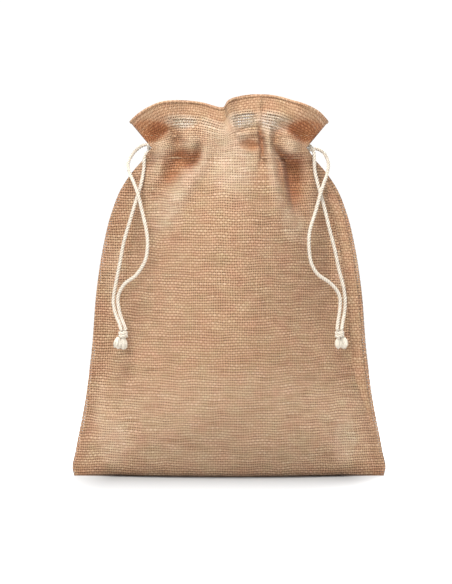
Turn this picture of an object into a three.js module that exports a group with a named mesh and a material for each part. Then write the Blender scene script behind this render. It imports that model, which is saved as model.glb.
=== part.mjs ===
// A drawstring gift pouch of coarse jute, standing filled with its neck drawn closed.
// Millimetres, +Z up, front towards -Y. The origin is the middle of the base, on the floor.

import * as THREE from 'three';

// Driving dimensions.
const CLOTH = 1.5; // one layer of jute with its loose fibres
const GAP = 0.3; // clearance between pieces that touch
const THREAD = 0.8; // sewing thread
const THREAD_SIDES = 6;
const CORD = 3; // twisted cotton cord
const CORD_SIDES = 8;

const BASE_HALF_WIDTH = 123.4;
const BASE_HALF_DEPTH = 22;
const PANEL_TOP = 251.9; // where the cloth of the pouch meets the cord tunnels
const PANEL_STEPS = 16;

const SEAM_WIDTH = 10; // the cut edges that are turned inside along each side
const SEAM_THICKNESS = 1.8;
const SEAM_INSET = 3;
const SEAM_LINE = 1.8; // how far inside the edge the side seams are sewn
const SEAM_BOTTOM = CLOTH + 2 * GAP;
const SEAM_TOP = PANEL_TOP - 4;
const SEAM_STEPS = 20;

const TUNNEL_HALF_LENGTH = 60;
const TUNNEL_HEIGHT = 18;
const TUNNEL_DEPTH = 6.6;
const TUNNEL_WALL = 1.2;
const TUNNEL_SEAM = 1.6; // the sewn strip above and below the cords
const TUNNEL_OFFSET = 8.3; // from the middle of the neck to each tunnel's axis
const TUNNEL_STITCHES = 2 * TUNNEL_HALF_LENGTH - 4; // the length of each row of stitches
const TUNNEL_MIDDLE = PANEL_TOP + GAP + TUNNEL_HEIGHT / 2;

const HEADER_BOTTOM = TUNNEL_MIDDLE + TUNNEL_HEIGHT / 2 + GAP;
const HEADER_HALF_WIDTH = 68.9; // where the header leaves the neck
const WING_HALF_WIDTH = 78; // the header's two side tips
const WING_HEIGHT = 282;
const HEADER_RISE = 21; // from the side tips to the middle of the top edge
const HEADER_DEPTH = 10.5;
const HEADER_FLARE = 9; // how much deeper the mouth is than the neck
const PLEATS = 3.5;
const PLEAT_DEPTH = 2.2;
const HEADER_COLUMNS = 42;
const HEADER_ROWS = 5;
const HEM_HEIGHT = 10;
const HEM_REACH = 0.97; // the share of the header's width where it is hemmed
const HEM_DROP = 0.02; // how far the hem lies below the top edge, as a share of the header's height
const HEM_SEAM = 1.5; // from the hem's lower edge up to its stitches

const CORD_SPACING = 4.8; // the two cords lie one above the other in each tunnel
const CORD_LEVEL_LOW = TUNNEL_MIDDLE - CORD_SPACING / 2;
const CORD_LEVEL_HIGH = TUNNEL_MIDDLE + CORD_SPACING / 2;
const RUN_START = 58.8; // from the middle to where a run becomes a strand, inside the slit
const RUN_END = 60; // from the middle to where it turns round, at the far slit
const TURN_POINTS = 8; // along the half circle where a cord turns round
const TURN_RINGS = 12;
const KNOT = { width: 8, depth: 6.8, height: 8 };
const TASSEL = { topRadius: 1.5, bottomRadius: 2.3, offset: 1.8 };

const jute = { color: 0xc39d7d, roughness: 0.95, metalness: 0 };
const cotton = { color: 0xeae2d2, roughness: 0.9, metalness: 0 };
const thread = { color: 0xc9a987, roughness: 0.8, metalness: 0 };

const pouch = new THREE.Group();

function add(name, geometry, look) {
  const mesh = new THREE.Mesh(geometry, new THREE.MeshStandardMaterial(look));
  mesh.name = name;
  pouch.add(mesh);
  return mesh;
}

// The pouch's outline: half its width and half its depth, by height.

function profile(stations) {
  const heights = stations.map((station) => station[0]);
  const values = stations.map((station) => station[1]);
  const curve = new THREE.CubicInterpolant(heights, values, 1);
  return (height) => curve.evaluate(height)[0];
}

const halfWidth = profile([
  [0, BASE_HALF_WIDTH], [5, 124.7], [20, 122.3], [60, 114.6], [100, 109.4], [150, 105.2],
  [180, 100.6], [210, 93.3], [230, 85], [243, 76], [254, 66.5],
]);

const halfDepth = profile([
  [0, BASE_HALF_DEPTH], [40, 37], [85, 44], [130, 45.5], [170, 42], [205, 35], [230, 27],
  [245, 21.5], [254, 18],
]);

// Cloth: a flat slab of one layer, bent by moving its middle surface.

const EDGE = GAP / 2 + CLOTH / 2; // the middle of a layer where front and back meet

function bentSheet(place, thickness, columns, rows) {
  const sheet = new THREE.BoxGeometry(2, 1, 1, columns, rows, 1);
  const position = sheet.attributes.position;
  for (let i = 0; i < position.count; i += 1) {
    const point = place(position.getX(i), position.getY(i) + 0.5);
    position.setXYZ(i, point.x, point.y - position.getZ(i) * thickness, point.z);
  }
  return sheet;
}

function baseFold() {
  const columns = 24;
  const outline = [];
  for (const side of [-1, 1]) {
    for (let i = 0; i <= columns; i += 1) {
      const across = side * (2 * i / columns - 1);
      const depth = GAP / 2 + CLOTH + BASE_HALF_DEPTH * (1 - across * across);
      outline.push(new THREE.Vector2(-across * BASE_HALF_WIDTH, side * depth));
    }
  }
  return new THREE.ExtrudeGeometry(new THREE.Shape(outline), { depth: CLOTH, bevelEnabled: false });
}

function panel(side) {
  const bottom = CLOTH + GAP;
  const place = (across, up) => {
    const z = THREE.MathUtils.lerp(bottom, PANEL_TOP, up);
    const y = side * (EDGE + halfDepth(z) * (1 - across * across));
    return new THREE.Vector3(across * halfWidth(z), y, z);
  };
  return bentSheet(place, CLOTH, PANEL_STEPS, PANEL_STEPS);
}

function seamAllowance(side) {
  const place = (across, up) => {
    const z = THREE.MathUtils.lerp(SEAM_BOTTOM, SEAM_TOP, up);
    const middle = side * (halfWidth(z) - SEAM_INSET - SEAM_WIDTH / 2);
    return new THREE.Vector3(middle + across * SEAM_WIDTH / 2, 0, z);
  };
  return bentSheet(place, SEAM_THICKNESS, 1, SEAM_STEPS);
}

// Tubes: cords and threads, as a round section along a smooth route.

function roundSection(radius, sides) {
  const outline = [];
  for (let i = 0; i < sides; i += 1) {
    const angle = 2 * Math.PI * i / sides;
    outline.push(new THREE.Vector2(radius * Math.cos(angle), radius * Math.sin(angle)));
  }
  return new THREE.Shape(outline);
}

function tube(points, diameter, sides, steps) {
  const extrudePath = new THREE.CatmullRomCurve3(points);
  return new THREE.ExtrudeGeometry(roundSection(diameter / 2, sides), { steps, extrudePath });
}

function sideSeam(side) {
  const points = [];
  for (let i = 0; i <= SEAM_STEPS; i += 1) {
    const z = THREE.MathUtils.lerp(SEAM_BOTTOM, SEAM_TOP, i / SEAM_STEPS);
    points.push(new THREE.Vector3(side * (halfWidth(z) - SEAM_LINE), 0, z));
  }
  return tube(points, THREAD, THREAD_SIDES, SEAM_STEPS);
}

// The tunnels: one flat sleeve in front of the neck and one behind it, open at both ends.

function rectangle(outline, width, height) {
  outline.moveTo(-width / 2, -height / 2);
  outline.lineTo(width / 2, -height / 2);
  outline.lineTo(width / 2, height / 2);
  outline.lineTo(-width / 2, height / 2);
  outline.closePath();
  return outline;
}

function tunnel() {
  const section = rectangle(new THREE.Shape(), TUNNEL_HEIGHT, TUNNEL_DEPTH);
  const room = rectangle(
    new THREE.Path(),
    TUNNEL_HEIGHT - 2 * TUNNEL_SEAM,
    TUNNEL_DEPTH - 2 * TUNNEL_WALL,
  );
  section.holes.push(room);
  return new THREE.ExtrudeGeometry(section, { depth: 2 * TUNNEL_HALF_LENGTH, bevelEnabled: false });
}

function addTunnel(name, side) {
  const sleeve = add(`${name}_cord_tunnel`, tunnel(), jute);
  sleeve.rotation.y = Math.PI / 2;
  sleeve.position.set(-TUNNEL_HALF_LENGTH, side * TUNNEL_OFFSET, TUNNEL_MIDDLE);
  const stitchOut = TUNNEL_OFFSET + TUNNEL_DEPTH / 2 + GAP + THREAD / 2;
  const stitchUp = (TUNNEL_HEIGHT - TUNNEL_SEAM) / 2;
  for (const [row, level] of [['upper', stitchUp], ['lower', -stitchUp]]) {
    const line = new THREE.CylinderGeometry(THREAD / 2, THREAD / 2, TUNNEL_STITCHES, THREAD_SIDES);
    const stitch = add(`${name}_tunnel_${row}_stitching`, line, thread);
    stitch.rotation.z = Math.PI / 2;
    stitch.position.set(0, side * stitchOut, TUNNEL_MIDDLE + level);
  }
}

// The header: the ruffle above each tunnel, with its hem turned to the inside.

const HEM_ROOM = CLOTH + GAP; // space for the two hems where front and back meet

function headerPoint(side, across, up) {
  const width = THREE.MathUtils.lerp(HEADER_HALF_WIDTH, WING_HALF_WIDTH, up);
  const top = WING_HEIGHT + HEADER_RISE * (1 - across ** 4);
  const crown = 1 - across * across;
  const pleats = PLEAT_DEPTH * up * crown * Math.cos(2 * Math.PI * PLEATS * across);
  const depth = EDGE + HEM_ROOM + crown * (HEADER_DEPTH - HEM_ROOM + HEADER_FLARE * up) + pleats;
  return new THREE.Vector3(
    across * width,
    side * depth,
    THREE.MathUtils.lerp(HEADER_BOTTOM, top, up),
  );
}

function header(side) {
  return bentSheet((across, up) => headerPoint(side, across, up), CLOTH, HEADER_COLUMNS, HEADER_ROWS);
}

function hem(side) {
  const place = (across, up) => {
    const reach = HEM_REACH * across;
    const height = headerPoint(side, reach, 1).z - HEADER_BOTTOM;
    const point = headerPoint(side, reach, 1 - HEM_HEIGHT / height * (1 - up) - HEM_DROP);
    point.y -= side * HEM_ROOM;
    return point;
  };
  return bentSheet(place, CLOTH - GAP, HEADER_COLUMNS, 2);
}

function hemStitching(side) {
  const points = [];
  for (let i = 0; i <= HEADER_COLUMNS; i += 1) {
    const across = HEM_REACH * (2 * i / HEADER_COLUMNS - 1);
    const height = headerPoint(side, across, 1).z - HEADER_BOTTOM;
    const point = headerPoint(side, across, 1 - (HEM_HEIGHT - HEM_SEAM) / height);
    point.y += side * (CLOTH / 2 + GAP + THREAD / 2);
    points.push(point);
  }
  return tube(points, THREAD, THREAD_SIDES, HEADER_COLUMNS);
}

// The cords. Each one runs through both tunnels, turns round at the far slit and hangs out
// of the near slit as two strands, whose ends share one knot. A route starts at the slit.
// Above its swivel a strand stays with the cord; below it, it swings with the knot.

const cords = {
  left: {
    outward: -1,
    frontLevel: CORD_LEVEL_LOW,
    backLevel: CORD_LEVEL_HIGH,
    front: {
      swivel: 32,
      route: [
        [-60.3, -8.3, 258.8], [-63.8, -8.6, 257.9], [-66.2, -9.2, 255.3], [-67.2, -9.6, 251.4],
        [-67.3, -9.6, 246], [-68.2, -10.4, 239], [-69.9, -12.6, 231], [-73.8, -14.6, 218],
        [-78, -15.9, 204], [-83, -16.1, 187], [-86, -16.6, 171], [-89, -16.6, 156],
        [-91, -16, 145], [-91.4, -16.1, 138], [-89.6, -18.2, 130], [-86.2, -22.4, 122],
        [-85.2, -24.4, 118.4],
      ],
    },
    back: {
      swivel: 56,
      route: [
        [-60.3, 8.3, 263.6], [-65, 8.6, 264], [-70, 7.6, 262.6], [-76, 4, 257], [-80, -2, 249],
        [-78.6, -7.6, 241], [-75.4, -13.4, 234], [-72, -17.6, 225], [-68.8, -20, 212],
        [-65, -25.2, 196], [-64, -28, 184], [-66, -29, 172], [-73, -26.8, 161],
        [-81.6, -21.8, 154.5], [-86, -19, 148], [-87.8, -18.4, 141], [-86, -20.4, 130],
        [-82.9, -23.4, 122], [-81.6, -24.4, 118.4],
      ],
    },
    knot: [-83.4, -24.8, 114],
    tassels: [[-88.9, -24.6, 103.3], [-84, -24.8, 102.7]],
  },
  right: {
    outward: 1,
    frontLevel: CORD_LEVEL_HIGH,
    backLevel: CORD_LEVEL_LOW,
    front: {
      swivel: 35,
      route: [
        [60.3, -8.3, 263.6], [63.8, -8.7, 262.7], [66.3, -9.5, 260.1], [67.3, -10.2, 256.2],
        [67.5, -10.4, 250.5], [67.9, -10.3, 243], [70.4, -12.8, 231.5], [75, -15.2, 215],
        [79, -16.6, 198], [83.4, -16.8, 181], [87, -16.8, 164], [89.2, -16.6, 156],
        [91, -16.2, 148], [91.8, -15.9, 139], [91.2, -17, 131], [89.6, -21, 123],
        [88.9, -24.4, 118.4],
      ],
    },
    back: {
      swivel: 56,
      route: [
        [60.3, 8.3, 258.8], [65, 9.3, 259.6], [70.6, 8, 260.4], [76, 3.6, 256.6], [79, -2, 249],
        [77.8, -7.8, 240.6], [75, -13.8, 233], [72.2, -18, 225], [68, -20.6, 210],
        [63.6, -25.4, 196], [62.8, -28.2, 184], [64.4, -29.2, 171], [69.6, -27.8, 161.6],
        [78.8, -23, 155], [84.6, -19.8, 149], [87.6, -18.4, 142], [87.4, -19, 133],
        [86, -22.2, 124], [85.3, -24.4, 118.4],
      ],
    },
    knot: [87.1, -24.8, 114],
    tassels: [[86.2, -24.8, 102.7], [91.2, -24.6, 103.3]],
  },
};

// A stretch of a route, from one distance along it to another.
class Stretch extends THREE.Curve {
  constructor(route, start, end) {
    super();
    this.route = route;
    this.start = start;
    this.end = end;
  }

  getPoint(share, target = new THREE.Vector3()) {
    const distance = THREE.MathUtils.lerp(this.start, this.end, share);
    return target.copy(this.route.getPointAt(distance / this.route.getLength()));
  }
}

function strandStretch(route, start, end) {
  const extrudePath = new Stretch(route, start, end);
  const steps = Math.round((end - start) / (2 * CORD));
  return new THREE.ExtrudeGeometry(roundSection(CORD / 2, CORD_SIDES), { steps, extrudePath });
}

function addStrand(name, strand) {
  const points = strand.route.map((point) => new THREE.Vector3(...point));
  const route = new THREE.CatmullRomCurve3(points);
  const length = route.getLength();
  add(`${name}_upper`, strandStretch(route, GAP, strand.swivel - GAP / 2), cotton);
  add(`${name}_lower`, strandStretch(route, strand.swivel + GAP / 2, length), cotton);
}

function addRun(name, outward, side, level) {
  const length = RUN_START + RUN_END;
  const run = add(name, new THREE.CylinderGeometry(CORD / 2, CORD / 2, length, CORD_SIDES), cotton);
  run.rotation.z = Math.PI / 2;
  run.position.set(outward * (RUN_START - RUN_END) / 2, side * TUNNEL_OFFSET, level);
}

function farBend(cord) {
  const points = [];
  for (let i = 0; i <= TURN_POINTS; i += 1) {
    const turn = Math.PI * (i / TURN_POINTS - 0.5);
    const level = (cord.backLevel - cord.frontLevel) / 2 * Math.sin(turn);
    points.push(new THREE.Vector3(
      -cord.outward * (RUN_END + GAP + TUNNEL_OFFSET * Math.cos(turn)),
      TUNNEL_OFFSET * Math.sin(turn),
      TUNNEL_MIDDLE + level,
    ));
  }
  return tube(points, CORD, CORD_SIDES, TURN_RINGS);
}

function addKnot(name, [x, y, z]) {
  const knot = add(name, new THREE.SphereGeometry(0.5, 14, 10), cotton);
  knot.scale.set(KNOT.width, KNOT.depth, KNOT.height);
  knot.position.set(x, y, z);
}

// A cord end below the knot, frayed wider towards its tip.
function addTassel(name, side, knot, tip) {
  const bottom = new THREE.Vector3(...tip);
  const top = new THREE.Vector3(...knot);
  top.z -= KNOT.height / 2 + GAP;
  top.x += side * TASSEL.offset;
  const reach = bottom.distanceTo(top);
  const tassel = add(
    name,
    new THREE.CylinderGeometry(TASSEL.topRadius, TASSEL.bottomRadius, reach, 10),
    cotton,
  );
  tassel.position.copy(top).lerp(bottom, 0.5);
  tassel.quaternion.setFromUnitVectors(new THREE.Vector3(0, 1, 0), top.clone().sub(bottom).normalize());
}

function addCord(name, cord) {
  addRun(`${name}_cord_front_run`, cord.outward, -1, cord.frontLevel);
  addRun(`${name}_cord_back_run`, cord.outward, 1, cord.backLevel);
  add(`${name}_cord_far_bend`, farBend(cord), cotton);
  addStrand(`${name}_front_strand`, cord.front);
  addStrand(`${name}_back_strand`, cord.back);
  addKnot(`${name}_knot`, cord.knot);
  addTassel(`${name}_tassel_a`, -1, cord.knot, cord.tassels[0]);
  addTassel(`${name}_tassel_b`, 1, cord.knot, cord.tassels[1]);
}

add('base_fold', baseFold(), jute);
for (const [name, side] of [['front', -1], ['back', 1]]) {
  add(`${name}_panel`, panel(side), jute);
  addTunnel(name, side);
  add(`${name}_header`, header(side), jute);
  add(`${name}_top_hem`, hem(side), jute);
  add(`${name}_hem_stitching`, hemStitching(side), thread);
}
for (const [name, side] of [['left', -1], ['right', 1]]) {
  add(`${name}_seam_allowance`, seamAllowance(side), jute);
  add(`${name}_side_seam`, sideSeam(side), thread);
  addCord(name, cords[name]);
}

export default pouch;
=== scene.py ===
"""The looks of a drawstring gift pouch: jute cloth gathered at the neck, and two twisted cotton cords.

Everything is shaped in millimetres, in the frame of the CAD model, and made in metres. Each panel of cloth
is one sheet: a smooth filled form, with each fold of the gathered neck pushed in or pulled out along a path.
"""

import math

import bpy
import numpy as np
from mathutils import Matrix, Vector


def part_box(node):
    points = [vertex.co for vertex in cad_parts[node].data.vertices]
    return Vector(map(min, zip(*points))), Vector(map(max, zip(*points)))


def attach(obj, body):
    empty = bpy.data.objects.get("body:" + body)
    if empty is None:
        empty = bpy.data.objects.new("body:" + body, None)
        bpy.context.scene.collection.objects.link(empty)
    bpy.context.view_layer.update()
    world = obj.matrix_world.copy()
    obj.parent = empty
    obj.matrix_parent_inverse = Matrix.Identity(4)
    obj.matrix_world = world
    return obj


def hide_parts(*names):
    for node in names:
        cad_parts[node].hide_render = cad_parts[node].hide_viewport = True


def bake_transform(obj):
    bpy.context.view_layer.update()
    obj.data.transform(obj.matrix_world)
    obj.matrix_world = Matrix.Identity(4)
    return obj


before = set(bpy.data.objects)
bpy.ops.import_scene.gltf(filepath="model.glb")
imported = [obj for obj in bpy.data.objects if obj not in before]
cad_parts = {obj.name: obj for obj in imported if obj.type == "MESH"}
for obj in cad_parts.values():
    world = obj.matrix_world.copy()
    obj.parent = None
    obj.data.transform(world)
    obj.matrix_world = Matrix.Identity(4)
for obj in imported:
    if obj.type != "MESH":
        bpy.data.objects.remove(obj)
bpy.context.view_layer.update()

MM = 0.001
random = np.random.default_rng(7)  # for the frayed ends of the cords


# Shader nodes.


class Maths:
    """Short names for the nodes of one node tree."""

    def __init__(self, tree):
        self.tree = tree

    def put(self, value, socket):
        """A number is set on the socket itself, and another node's output is linked to it."""
        if isinstance(value, (int, float)):
            socket.default_value = value
        else:
            self.tree.links.new(value, socket)

    def do(self, operation, *values):
        node = self.tree.nodes.new("ShaderNodeMath")
        node.operation = operation
        for socket, value in zip(node.inputs, values):
            self.put(value, socket)
        return node.outputs[0]

    def add(self, a, b):
        return self.do("ADD", a, b)

    def take(self, a, b):
        return self.do("SUBTRACT", a, b)

    def times(self, a, b):
        return self.do("MULTIPLY", a, b)

    def mix(self, share, a, b):
        """a where share is 0, b where it is 1."""
        return self.add(a, self.times(share, self.take(b, a)))

    def split(self, vector):
        node = self.tree.nodes.new("ShaderNodeSeparateXYZ")
        self.put(vector, node.inputs[0])
        return node.outputs

    def noise(self, x, y, scale, detail=2.0, z=0.0):
        join = self.tree.nodes.new("ShaderNodeCombineXYZ")
        for socket, value in zip(join.inputs, (x, y, z)):
            self.put(value, socket)
        node = self.tree.nodes.new("ShaderNodeTexNoise")
        node.inputs["Scale"].default_value = scale
        node.inputs["Detail"].default_value = detail
        self.put(join.outputs[0], node.inputs["Vector"])
        return node.outputs["Fac"]

    def attribute(self, name):
        node = self.tree.nodes.new("ShaderNodeAttribute")
        node.attribute_name = name
        return node.outputs["Fac"]

    def flat_place(self):
        """Where a point lies on the flat cloth, or how far round and along its cord."""
        node = self.tree.nodes.new("ShaderNodeUVMap")
        node.uv_map = "flat"
        return self.split(node.outputs[0])[:2]

    def multiply_colour(self, first, second):
        node = self.tree.nodes.new("ShaderNodeMix")
        node.data_type = "RGBA"
        node.blend_type = "MULTIPLY"
        node.inputs["Factor"].default_value = 1.0
        self.put(first, node.inputs["A"])
        self.put(second, node.inputs["B"])
        return node.outputs["Result"]

    def ramp(self, value, *stops):
        node = self.tree.nodes.new("ShaderNodeValToRGB")
        elements = node.color_ramp.elements
        while len(elements) < len(stops):
            elements.new(0.5)
        for element, (place, colour) in zip(elements, stops):
            element.position = place
            element.color = (*colour, 1)
        self.put(value, node.inputs[0])
        return node.outputs[0]

    def bump(self, height, strength, distance):
        node = self.tree.nodes.new("ShaderNodeBump")
        node.inputs["Strength"].default_value = strength
        node.inputs["Distance"].default_value = distance
        self.put(height, node.inputs["Height"])
        return node.outputs[0]

    def mix_shaders(self, share, first, second):
        node = self.tree.nodes.new("ShaderNodeMixShader")
        for socket, value in zip(node.inputs, (share, first, second)):
            self.put(value, socket)
        return node.outputs[0]


def start_material(name):
    """A new material, the maths of its node tree, and its surface shader."""
    material = bpy.data.materials.new(name)
    material.use_nodes = True
    tree = material.node_tree
    return material, Maths(tree), tree.nodes["Principled BSDF"]


# Camera, light and floor.


def add_camera():
    """Far away and nearly level, so that the pouch is seen almost without perspective."""
    distance, elevation = 2.2, math.radians(2)
    view_height = 0.465
    aim_x, aim_z = -0.0024, 0.1465
    data = bpy.data.cameras.new("camera")
    data.lens = 36 * distance / view_height
    data.clip_end = 20
    camera = bpy.data.objects.new("camera", data)
    camera.location = (aim_x, -distance * math.cos(elevation), aim_z + distance * math.sin(elevation))
    camera.rotation_euler = (math.pi / 2 - elevation, 0, 0)
    bpy.context.scene.collection.objects.link(camera)
    bpy.context.scene.camera = camera


def add_light(name, place, target, size, power):
    data = bpy.data.lights.new(name, "AREA")
    data.size, data.energy = size, power
    light = bpy.data.objects.new(name, data)
    light.location = place
    aim = np.array(target) - np.array(place)
    light.rotation_euler = Vector(aim).to_track_quat("-Z", "Y").to_euler()
    bpy.context.scene.collection.objects.link(light)


def add_world():
    """Even white light, and a pure white background behind the object."""
    world = bpy.data.worlds.new("studio")
    bpy.context.scene.world = world
    world.use_nodes = True
    nodes = world.node_tree.nodes
    nodes.clear()
    seen, lit = nodes.new("ShaderNodeBackground"), nodes.new("ShaderNodeBackground")
    for background, strength in ((seen, 1.05), (lit, 0.36)):
        background.inputs["Color"].default_value = (1, 1, 1, 1)
        background.inputs["Strength"].default_value = strength
    path = nodes.new("ShaderNodeLightPath")
    out = nodes.new("ShaderNodeOutputWorld")
    m = Maths(world.node_tree)
    surface = m.mix_shaders(path.outputs["Is Camera Ray"], lit.outputs[0], seen.outputs[0])
    m.put(surface, out.inputs["Surface"])


def add_floor():
    """A pale floor, which glows white away from the pouch and has a soft shadow painted into its glow under
    it and in front of it.
    """
    far = 1.3
    mesh = bpy.data.meshes.new("floor")
    mesh.from_pydata([(-far, -far, 0), (far, -far, 0), (far, far, 0), (-far, far, 0)], [], [(0, 1, 2, 3)])
    floor = bpy.data.objects.new("floor", mesh)
    bpy.context.scene.collection.objects.link(floor)
    material, m, shader = start_material("floor")
    place = m.tree.nodes.new("ShaderNodeTexCoord")
    x, y = m.split(place.outputs["Object"])[:2]

    # The painted shadow is deepest along a line under the pouch, and fades out round it.
    line_end, fade_aside, fade_ahead = 0.09, 0.08, 0.24
    ahead = m.do("DIVIDE", y, fade_ahead)
    past_end = m.do("MAXIMUM", m.take(m.do("ABSOLUTE", x), line_end), 0.0)
    aside = m.do("DIVIDE", past_end, fade_aside)
    away = m.do("SQRT", m.add(m.times(ahead, ahead), m.times(aside, aside)))
    away = m.do("MINIMUM", away, 1.0)
    # The floor glows less near the pouch, which paints its shadow there.
    glow = m.times(away, m.take(2.0, away))
    m.put(m.times(glow, 0.8), shader.inputs["Emission Strength"])
    shader.inputs["Base Color"].default_value = (0.32, 0.32, 0.32, 1)
    shader.inputs["Emission Color"].default_value = (1, 1, 1, 1)
    shader.inputs["Roughness"].default_value = 0.9
    shader.inputs["Specular IOR Level"].default_value = 0.1
    mesh.materials.append(material)


add_camera()
add_world()
add_floor()
add_light("key", (-0.25, -0.75, 1.75), (0, 0, 0.15), 0.8, 38)
add_light("front", (-0.5, -1.9, 0.5), (0, 0, 0.12), 1.0, 21)
add_light("behind", (0.2, 1.0, 1.1), (0, 0, 0.25), 0.8, 40)
bpy.context.scene.view_settings.view_transform = "Standard"


# Meshes, and smooth curves.


def make_mesh(name, points, faces, flat):
    """A mesh object from points in millimetres. flat is each point's place on the flat cloth, kept as UVs."""
    mesh = bpy.data.meshes.new(name)
    mesh.from_pydata([tuple(point) for point in np.asarray(points) * MM], [], faces)
    mesh.polygons.foreach_set("use_smooth", [True] * len(mesh.polygons))
    layer = mesh.uv_layers.new(name="flat")
    corner = np.empty(len(mesh.loops), np.int32)
    mesh.loops.foreach_get("vertex_index", corner)
    layer.data.foreach_set("uv", (np.asarray(flat)[corner] * MM).astype(np.float32).ravel())
    piece = bpy.data.objects.new(name, mesh)
    bpy.context.scene.collection.objects.link(piece)
    return piece


def grid_faces(rows, columns, flip):
    faces = []
    for row in range(rows - 1):
        for column in range(columns - 1):
            a = row * columns + column
            quad = (a, a + 1, a + columns + 1, a + columns)
            faces.append(quad[::-1] if flip else quad)
    return faces


def tube_faces(first, rings, sides):
    """The skin and the two ends of a tube, from rings of points that start at point number first."""
    faces = []
    for ring in range(rings - 1):
        for side in range(sides):
            start = first + ring * sides
            a, b = start + side, start + (side + 1) % sides
            faces.append((a, b, b + sides, a + sides))
    last = first + (rings - 1) * sides
    faces.append(tuple(range(first, first + sides))[::-1])
    faces.append(tuple(range(last, last + sides)))
    return faces


def paint(piece, name, values):
    attribute = piece.data.attributes.new(name, "FLOAT", "POINT")
    attribute.data.foreach_set("value", np.asarray(values, np.float32))


def solidify(piece, thickness):
    modifier = piece.modifiers.new("thickness", "SOLIDIFY")
    modifier.thickness = thickness * MM
    modifier.offset = -1
    modifier.use_quality_normals = True
    graph = bpy.context.evaluated_depsgraph_get()
    solid = piece.evaluated_get(graph)
    mesh = bpy.data.meshes.new_from_object(solid, preserve_all_data_layers=True, depsgraph=graph)
    piece.modifiers.clear()
    piece.data = mesh


def cloth_piece(name, points, flat, tints, thickness, flip=False):
    """A sheet of cloth from rows of points. Each tint has one value, or one for each row or each point."""
    points = np.asarray(points)
    shape = points.shape[:2]
    piece = make_mesh(name, points.reshape(-1, 3), grid_faces(*shape, flip), np.reshape(flat, (-1, 2)))
    for tint, values in tints.items():
        paint(piece, tint, np.broadcast_to(values, shape).ravel())
    solidify(piece, thickness)
    return piece


def profile(stations):
    """A smooth curve through (place, value) pairs, as a function of place."""
    places, values = np.array(stations, float).T
    slopes = np.gradient(values, places)

    def value_at(place):
        place = np.clip(place, places[0], places[-1])
        i = np.clip(np.searchsorted(places, place, side="right") - 1, 0, len(places) - 2)
        gap = places[i + 1] - places[i]
        t = (place - places[i]) / gap
        start = (1 + 2 * t) * (1 - t) ** 2 * values[i] + t * (1 - t) ** 2 * gap * slopes[i]
        end = t * t * (3 - 2 * t) * values[i + 1] + t * t * (t - 1) * gap * slopes[i + 1]
        return start + end

    return value_at


def smooth_path(points, step):
    """Points about step apart on a Catmull-Rom curve through the given ones."""
    points = np.asarray(points, float)
    padded = np.vstack([2 * points[0] - points[1], points, 2 * points[-1] - points[-2]])
    path = []
    for i in range(len(points) - 1):
        p0, p1, p2, p3 = padded[i : i + 4]
        count = max(2, int(np.linalg.norm((p2 - p1)[:3]) / step))
        for t in np.arange(count) / count:
            path.append(0.5 * (2 * p1 + (p2 - p0) * t + (2 * p0 - 5 * p1 + 4 * p2 - p3) * t**2
                               + (3 * p1 - p0 - 3 * p2 + p3) * t**3))
    path.append(points[-1])
    return np.array(path)


def even_path(path, step):
    """The path as points step apart, keeping both ends."""
    lengths = np.concatenate([[0], np.cumsum(np.linalg.norm(np.diff(path, axis=0), axis=1))])
    count = max(2, int(round(lengths[-1] / step)))
    places = np.linspace(0, lengths[-1], count + 1)
    return np.stack([np.interp(places, lengths, path[:, k]) for k in range(3)], 1)


def smoothstep(low, high, value):
    t = np.clip((value - low) / (high - low), 0, 1)
    return t * t * (3 - 2 * t)


# The form of the pouch.

CLOTH = 0.9
NECK = 261.0  # the height where the neck is narrowest
NECK_HALF_WIDTH = 61.3
WING = 78.0  # half the width of the header, from the middle to its side tips
EDGE = 0.7  # how far each panel stands from the middle plane at its sides
BASE_HALF_DEPTH = 22.0
UNDERTURN = 10.0  # the radius of the turn under the pouch
HEM = 10.0
HEM_ROLL = 1.2  # how far the rolled hem stands above the panel's own top row
SEAM_BAND = 10.0  # the seam allowance, which darkens the cloth along both sides
TUNNEL_HALF_LENGTH = 60.5
TUNNEL_LOW, TUNNEL_HIGH = 252.6, 270.6  # the heights where the cord tunnel is sewn
TUNNEL_COVER = 11.6  # the least distance of the cloth over the cords from the middle plane
COVER_SOFTNESS = 1.2
CLIMB = 1.03  # millimetres of cloth for each millimetre of height
HEADER_CLOTH = 41.0  # from the neck up to the top edge

# The grid of a panel: its rows are closer together where the cloth is gathered.
COLUMNS = 201
GATHER = 222.0
BODY_ROWS, NECK_ROWS, HEADER_ROWS = 128, 46, 62
NECK_ROW = BODY_ROWS + NECK_ROWS - 2

half_width = profile([
    (0, 123.4), (5, 124.7), (20, 122.3), (60, 114.6), (100, 109.4), (150, 105.2), (180, 100.6), (210, 93.3),
    (230, 85), (243, 76), (254, 66.5), (NECK, NECK_HALF_WIDTH),
])

# How far the cloth stands out from the middle plane: along its centre, along its wings, and at its two sides.
centre_depth = profile([
    (0, 22.7), (40, 37.7), (85, 44.7), (130, 46), (170, 43.5), (190, 41), (208, 37.2), (224, 32.6),
    (238, 27.3), (254, 21.5), (262, 20.5), (270, 20), (278, 18), (287, 15), (296, 12.5), (303, 11.5),
])
wing_depth = profile([
    (0, 22.7), (40, 37.7), (85, 44.7), (130, 46), (170, 43.5), (190, 41), (208, 37.2), (224, 32.6),
    (238, 27), (254, 19.5), (262, 17.5), (268, 17), (275, 21), (283, 28), (292, 32), (303, 32),
])
side_depth = profile([
    (0, EDGE), (250, EDGE), (252, 1.5), (256, 11.8), (269, 11.8), (275, 6), (283, 3), (303, 3),
])
fullness = profile([(0, 1), (225, 1), (240, 0.75), (254, 0.35), (270, 0.32), (285, 0.4), (303, 0.45)])
top_edge = profile([
    (-78, 282), (-70.5, 288.3), (-62, 293.2), (-53, 296.8), (-42, 298.2), (-31, 297.9), (-20, 296.3),
    (-12, 294), (-6.5, 292.8), (-3.5, 293.4), (-1.5, 297), (2, 299.6), (8, 301.4), (16, 302.7), (25, 303),
    (33, 302.5), (41, 300.9), (49, 298.3), (57.5, 295.7), (65.7, 292.2), (71.2, 288.9), (78, 282),
])


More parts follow.
